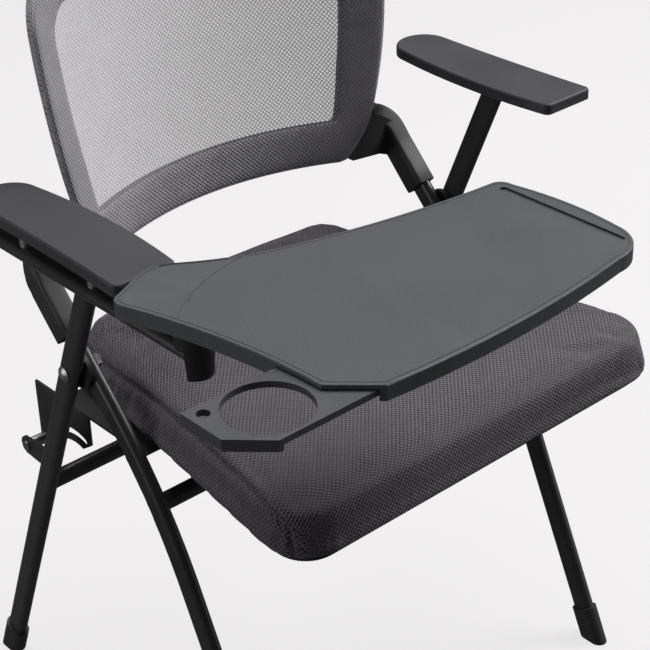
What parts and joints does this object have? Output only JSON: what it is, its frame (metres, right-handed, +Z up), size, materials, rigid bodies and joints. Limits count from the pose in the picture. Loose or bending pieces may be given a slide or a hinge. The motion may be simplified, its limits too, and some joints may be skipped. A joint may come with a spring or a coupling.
{
  "type": "folding tablet-arm chair",
  "caption": "Folding tubular-steel chair with a curved mesh back, padded seat, arm pads and a swivelling writing tablet with a slide-out cup tray",
  "frame": {"origin": "on the floor, under the middle of the whole chair's outer box (tablet and tray included), so the chair's own middle plane is at x = +0.0435", "axes": "+Z up from the floor; -Y is the way the sitter faces; +X is towards the sitter's left, so the tablet is on the -X side"},
  "size_m": [0.721, 0.6848, 0.852],
  "materials": {
    "black_powder_coat": "satin black powder coat",
    "black_plastic": "fine-grained matte black plastic",
    "tablet_plastic": "fine-textured charcoal plastic",
    "foot_plastic": "matt black soft plastic",
    "zinc_steel": "zinc-plated fastener",
    "seat_fabric": "dark plum-grey spacer mesh",
    "band_fabric": "dense grey woven band",
    "mesh_fabric": "light grey open mesh",
    "pan_wood": "plain plywood"
  },
  "bodies": {
    "front_frame": {"front_leg_left": "black_powder_coat", "front_leg_right": "black_powder_coat", "front_feet": "foot_plastic", "front_cross_bar": "black_powder_coat", "leg_pivot_bolts": "zinc_steel", "leg_pivot_nuts": "zinc_steel", "leg_pivot_spacers": "black_plastic", "seat_hinge_bolts": "zinc_steel", "back_socket_left": "black_plastic", "back_socket_right": "black_plastic", "back_frame": "black_plastic", "back_band": "band_fabric", "back_mesh": "mesh_fabric"},
    "rear_frame": {"rear_leg_left": "black_powder_coat", "rear_leg_right": "black_powder_coat", "rear_feet": "foot_plastic", "rear_cross_bar": "black_powder_coat", "leg_pivot_bushes": "zinc_steel", "seat_slide_pins": "zinc_steel", "arm_plate_left": "black_powder_coat", "arm_plate_right": "black_powder_coat", "arm_pad_left": "black_plastic", "arm_pad_right": "black_plastic", "arm_pad_screws": "zinc_steel", "tablet_arm": "black_powder_coat", "tablet_arm_spacers": "zinc_steel", "tablet_arm_bolts": "zinc_steel", "tablet_arm_plug": "black_plastic", "tablet_swivel_pin": "black_powder_coat"},
    "seat": {"seat_cushion": "seat_fabric", "seat_pan": "pan_wood", "seat_bracket_left": "black_powder_coat", "seat_bracket_right": "black_powder_coat", "seat_screws": "zinc_steel"},
    "tablet": {"tablet_board": "tablet_plastic", "tablet_hub": "black_plastic", "tablet_hub_screws": "zinc_steel", "tray_rail": "black_powder_coat", "tray_rail_screws": "zinc_steel"},
    "tray": {"cup_tray": "tablet_plastic"}
  },
  "joints": [
    {"name": "fold", "type": "hinge", "parent": "front_frame", "child": "rear_frame", "pos_m": [0.0435, 0.12413, 0.4781], "axis": [-1, 0, 0], "range_deg": [0, 47]},
    {"name": "seat_fold", "type": "hinge", "parent": "front_frame", "child": "seat", "pos_m": [0.0435, 0.07211, 0.385], "axis": [-1, 0, 0], "range_deg": [0, 60]},
    {"name": "tablet_swivel", "type": "hinge", "parent": "rear_frame", "child": "tablet", "pos_m": [-0.2525, -0.12689, 0.65], "axis": [0, 0, -1], "range_deg": [0, 60]},
    {"name": "tray_slide", "type": "slide", "parent": "tablet", "child": "tray", "axis": [1, 0, 0], "range_m": [0, 0.102]}
  ],
  "couplings": [
    {"joint": "seat_fold", "follows": "fold", "ratio": 1.2766}
  ]
}
